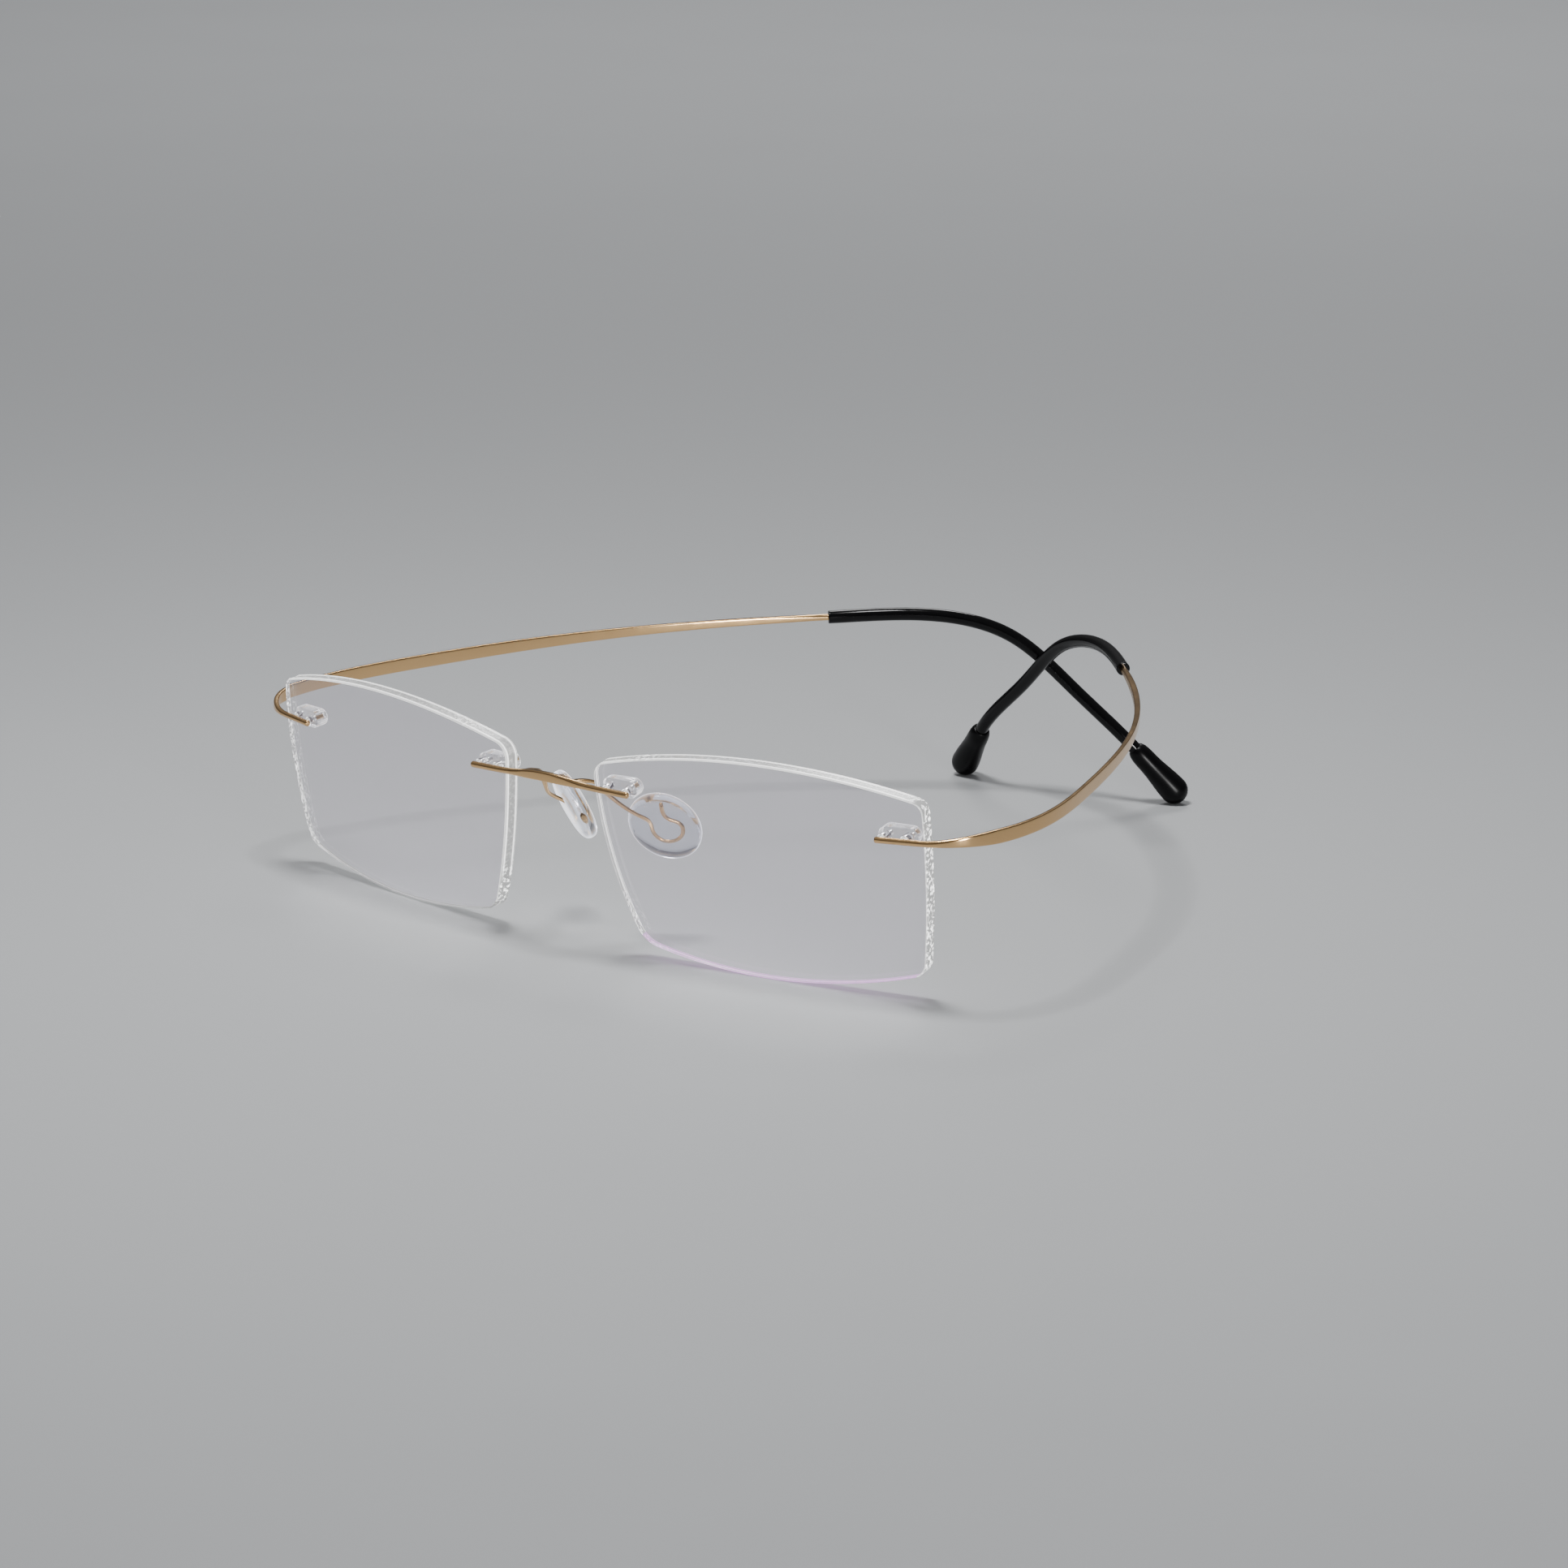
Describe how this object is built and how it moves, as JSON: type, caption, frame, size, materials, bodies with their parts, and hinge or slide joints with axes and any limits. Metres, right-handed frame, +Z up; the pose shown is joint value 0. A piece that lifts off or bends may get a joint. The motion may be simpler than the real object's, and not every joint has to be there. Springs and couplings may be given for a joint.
{
  "type": "eyeglasses",
  "caption": "Rimless eyeglasses with rectangular clear lenses, a slim metal bridge, clear nose pads and flexible hingeless temples that cross behind, with black sleeves and bulb tips.",
  "frame": {"origin": "on the table, midway between the lenses, below the lenses' most forward points", "axes": "+Z up, front faces -Y, temples run to +Y, +X is the wearer's left"},
  "size_m": [0.1294, 0.1271, 0.0305],
  "materials": {
    "rose_titanium": "satin rose gold",
    "clear_lens": "polished clear demo lens",
    "clear_plastic": "clear",
    "clear_silicone": "clear soft",
    "black_sleeve": "glossy black",
    "black_bulb": "satin black"
  },
  "bodies": {
    "front": {"bridge_bar": "rose_titanium", "lens_left": "clear_lens", "lens_right": "clear_lens", "bridge_plug_left": "clear_plastic", "bridge_plug_right": "clear_plastic", "temple_plug_left": "clear_plastic", "temple_plug_right": "clear_plastic", "bridge_peg_inner_left": "rose_titanium", "bridge_peg_inner_right": "rose_titanium", "bridge_peg_outer_left": "rose_titanium", "bridge_peg_outer_right": "rose_titanium", "temple_peg_inner_left": "rose_titanium", "temple_peg_inner_right": "rose_titanium", "temple_peg_outer_left": "rose_titanium", "temple_peg_outer_right": "rose_titanium", "temple_mount_left": "rose_titanium", "temple_mount_right": "rose_titanium"},
    "temple_left": {"temple_blade_left": "rose_titanium", "temple_sleeve_left": "black_sleeve", "temple_bulb_left": "black_bulb"},
    "temple_right": {"temple_blade_right": "rose_titanium", "temple_sleeve_right": "black_sleeve", "temple_bulb_right": "black_bulb"},
    "pad_left": {"nose_pad_arm_left": "rose_titanium", "nose_pad_left": "clear_silicone"},
    "pad_right": {"nose_pad_arm_right": "rose_titanium", "nose_pad_right": "clear_silicone"}
  },
  "joints": [
    {"name": "temple_flex_left", "type": "hinge", "parent": "front", "child": "temple_left", "pos_m": [0.06374, 0.01158, 0.02305], "axis": [0, 0, -1], "range_deg": [0, 32], "stiffness_Nm_per_rad": 0.05},
    {"name": "temple_flex_right", "type": "hinge", "parent": "front", "child": "temple_right", "pos_m": [-0.06374, 0.01158, 0.02305], "axis": [0, 0, 1], "range_deg": [0, 32], "stiffness_Nm_per_rad": 0.05},
    {"name": "pad_flex_left", "type": "hinge", "parent": "front", "child": "pad_left", "pos_m": [0.00441, -0.00395, 0.0237], "axis": [0, 0, 1], "range_deg": [-6, 6], "stiffness_Nm_per_rad": 0.02},
    {"name": "pad_flex_right", "type": "hinge", "parent": "front", "child": "pad_right", "pos_m": [-0.00441, -0.00395, 0.0237], "axis": [0, 0, -1], "range_deg": [-6, 6], "stiffness_Nm_per_rad": 0.02}
  ],
  "couplings": [
    {"joint": "temple_flex_right", "follows": "temple_flex_left", "ratio": 1}
  ]
}
